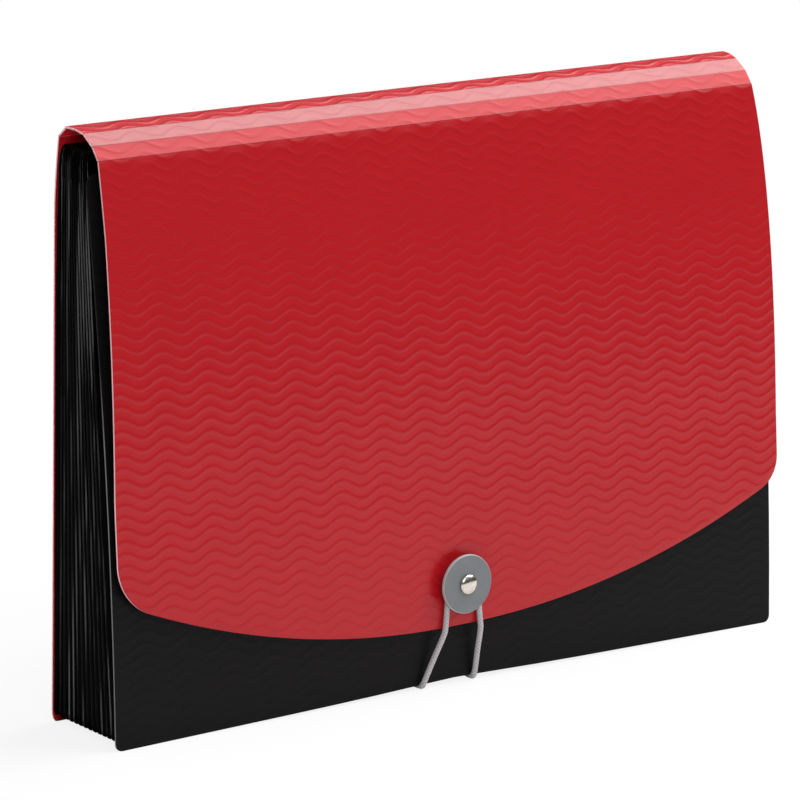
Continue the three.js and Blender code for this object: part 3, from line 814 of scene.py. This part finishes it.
def flap_depth(x, z):
    """Where the flap's outer face stands, in depth."""
    lean = 0.044 * z + 0.27669 * z * z
    up_the_bow = max(0, (z - 0.090) / 0.1382929)
    bow = 0.0011 * math.sin(math.pi * up_the_bow)
    return lean + 0.0039 * pull(x, z) - SHEET - STANDOFF - bow - ORIGIN_SETBACK


def widening(x, z):
    """How far a place on the flap lies beyond the width at its hinge."""
    if x < 0:
        return FLAP_WIDENS_LEFT * min(1, max(0, (0.199 - z) / 0.100)) * x / FLAP_HALF
    return FLAP_WIDENS_RIGHT * (1 - math.exp(-(0.229 - z) / 0.028)) * x / FLAP_HALF


def make_flap():
    """The flap's sheet on its own surface, with the hole for the rivet."""
    bpy.ops.object.select_all(action="DESELECT")
    bpy.ops.mesh.primitive_grid_add(x_subdivisions=120, y_subdivisions=60, size=2)
    piece = bpy.context.object
    piece.name = "flap_sheet"
    for vertex in piece.data.vertices:
        # The grid runs from -1 to 1 both ways, and its columns close up towards the sides.
        x = FLAP_HALF * math.sin(vertex.co.x * math.pi / 2)
        foot = flap_foot(x)
        z = foot + (FLAP_TOP.z - foot) * (vertex.co.y + 1) / 2
        raised = 0.0016 + 0.0125 * x + 0.07 * x * x
        z += raised * (1 - vertex.co.y) / 2
        vertex.co = (x + widening(x, z), flap_depth(x, z), z)
    apply_modifier(piece, "SOLIDIFY", thickness=SHEET, offset=-1)
    # The inner edge at the hinge is mitred to meet the last strip.
    for vertex in piece.data.vertices:
        if vertex.co.z > FLAP_TOP.z - 0.0005 and vertex.co.y > FLAP_TOP.y + 0.0005:
            vertex.co.y = FLAP_TOP_INSIDE.y
            vertex.co.z = FLAP_TOP_INSIDE.z
    bpy.ops.mesh.primitive_cylinder_add(vertices=48, radius=RIVET_HOLE / 2, depth=0.012)
    punch = bpy.context.object
    punch.rotation_euler = (math.pi / 2, 0, 0)
    punch.location = BUTTON_CENTRE
    bpy.ops.object.transform_apply(location=True, rotation=True, scale=True)
    select_only(piece)
    apply_modifier(piece, "BOOLEAN", object=punch, operation="DIFFERENCE")
    bpy.data.objects.remove(punch)
    apply_modifier(
        piece, "BEVEL", limit_method="ANGLE", angle_limit=math.radians(50), width=0.00014, segments=2,
    )
    bpy.ops.object.shade_smooth_by_angle(angle=math.radians(35))
    give_material(piece, flap_red)
    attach(piece, "flap")
    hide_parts("flap")


make_flap()
rounded_copy("front_cover", "front_sheet", "front", front_black, 0.00015)


# The thin webs that the score lines leave between the stretches of the red sheet

SCORE_GAP = 0.0003
WEB_THICKNESS = 0.00022
WEB_HALF_WIDTHS = [0.165, 0.164, 0.1632, 0.1625, 0.1625, 0.1625]
STRETCH_BODIES = [
    "back", "spine_rear", "spine_rear", "spine_rear", "spine_front", "spine_front", "flap",
]


def score_web(i):
    """The web in one score line, attached to its stretches' body where both sides share one."""
    slope = math.radians((STRETCH_ANGLES[i] + STRETCH_ANGLES[i + 1]) / 2)
    bend = math.radians(STRETCH_ANGLES[i] - STRETCH_ANGLES[i + 1])
    width = SCORE_GAP * math.cos(bend / 2) * 0.94
    inwards = Vector((0, -math.sin(slope), -math.cos(slope)))
    centre = SCORE_POINTS[i] + inwards * (WEB_THICKNESS / 2 + 0.00002)
    bpy.ops.object.select_all(action="DESELECT")
    bpy.ops.mesh.primitive_cube_add(size=1)
    piece = bpy.context.object
    piece.name = f"score_web_{i + 1}"
    piece.scale = (2 * WEB_HALF_WIDTHS[i], width, WEB_THICKNESS)
    piece.rotation_euler = (-slope, 0, 0)
    piece.location = centre
    bpy.ops.object.transform_apply(location=True, rotation=True, scale=True)
    apply_modifier(piece, "BEVEL", width=0.00005, segments=2)
    bpy.ops.object.shade_smooth_by_angle(angle=math.radians(40))
    give_material(piece, score_red_shaded)
    before = STRETCH_BODIES[i]
    after = STRETCH_BODIES[i + 1]
    if before == after:
        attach(piece, before)
    else:
        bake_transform(piece)


for i in range(len(SCORE_POINTS)):
    score_web(i)


# Floor, lamps and world

FLOOR_RADIUS = 1.1
FLOOR_GLOW = 0.85
HORIZON_GLOSS = 0.02
OVERHEAD_GLOSS = 0.8
AMBIENT = 0.30


def studio_floor():
    """A round white table that keeps the folder's shadow and fades into the background."""
    bpy.ops.object.select_all(action="DESELECT")
    bpy.ops.mesh.primitive_circle_add(vertices=96, radius=FLOOR_RADIUS, fill_type="NGON")
    piece = bpy.context.object
    piece.name = "studio_floor"
    material, tree, shader = new_material("white_studio_floor")
    place = add_node(tree, "ShaderNodeTexCoord").outputs["Object"]
    mottle = add_node(tree, "ShaderNodeTexNoise", {"Vector": place, "Scale": 3.0, "Detail": 1.0})
    mottled = add_node(tree, "ShaderNodeMapRange", {
        "Value": mottle.outputs["Fac"], "From Min": 0.3, "From Max": 0.7,
    })
    colour = add_node(tree, "ShaderNodeMix", {
        0: mottled.outputs["Result"], 6: hex_colour("f1f1f1"), 7: hex_colour("f5f5f5"),
    }, data_type="RGBA")
    tree.links.new(colour.outputs[2], shader.inputs["Base Color"])
    shader.inputs["Roughness"].default_value = 0.9
    shader.inputs["Specular IOR Level"].default_value = 0.1
    rays = add_node(tree, "ShaderNodeLightPath")
    glow = add_node(tree, "ShaderNodeEmission", {"Color": hex_colour("ffffff"), "Strength": 1.0})
    away = add_node(tree, "ShaderNodeVectorMath", {0: place}, operation="LENGTH")
    fade = add_node(tree, "ShaderNodeMapRange", {
        "Value": away.outputs["Value"], "From Min": 0.25, "From Max": 0.9,
        "To Min": FLOOR_GLOW, "To Max": 1.0,
    })
    share = add_node(tree, "ShaderNodeMath", {
        0: rays.outputs["Is Camera Ray"], 1: fade.outputs["Result"],
    }, operation="MULTIPLY")
    mixed = add_node(tree, "ShaderNodeMixShader", {
        0: share.outputs[0], 1: shader.outputs["BSDF"], 2: glow.outputs["Emission"],
    })
    tree.links.new(mixed.outputs["Shader"], tree.nodes["Material Output"].inputs["Surface"])
    give_material(piece, material)


def studio_world():
    """White behind everything, a plain level of light from all round, and a dark horizon.

    Gloss and mirrors see the horizon dark and the sky overhead bright.
    """
    sky = bpy.data.worlds.new("studio")
    bpy.context.scene.world = sky
    sky.use_nodes = True
    tree = sky.node_tree
    background = tree.nodes["Background"]
    background.inputs["Color"].default_value = (1, 1, 1, 1)
    rays = add_node(tree, "ShaderNodeLightPath")
    direction = add_node(tree, "ShaderNodeTexCoord").outputs["Generated"]
    up = add_node(tree, "ShaderNodeSeparateXYZ", {0: direction}).outputs["Z"]
    seen_in_gloss = add_node(tree, "ShaderNodeMapRange", {
        "Value": up, "From Min": 0.1, "From Max": 0.8,
        "To Min": HORIZON_GLOSS, "To Max": OVERHEAD_GLOSS,
    })
    gloss = add_node(tree, "ShaderNodeMath", {
        0: rays.outputs["Is Glossy Ray"], 1: rays.outputs["Is Transmission Ray"],
    }, operation="MAXIMUM")
    plain = add_node(tree, "ShaderNodeMath", {
        0: gloss.outputs[0], 1: -AMBIENT, 2: AMBIENT,
    }, operation="MULTIPLY_ADD")
    lit = add_node(tree, "ShaderNodeMath", {
        0: gloss.outputs[0], 1: seen_in_gloss.outputs["Result"], 2: plain.outputs[0],
    }, operation="MULTIPLY_ADD")
    strength = add_node(tree, "ShaderNodeMath", {
        0: lit.outputs[0], 1: rays.outputs["Is Camera Ray"],
    }, operation="MAXIMUM")
    tree.links.new(strength.outputs[0], background.inputs["Strength"])


def softbox(name, place, aim, size, power):
    """A large square lamp aimed at a point."""
    light = bpy.data.lights.new(name, "AREA")
    light.shape = "SQUARE"
    light.size = size
    light.energy = power
    lamp = bpy.data.objects.new(name, light)
    bpy.context.scene.collection.objects.link(lamp)
    lamp.location = place
    lamp.rotation_euler = (Vector(aim) - Vector(place)).to_track_quat("-Z", "Y").to_euler()


studio_floor()
studio_world()
softbox("front_softbox", (-1.2, -2.2, 1.6), (0, 0, 0.12), 1.6, 25)
softbox("top_softbox", (1.29, -0.31, 1.9), (0, 0, 0.2), 2.2, 76)
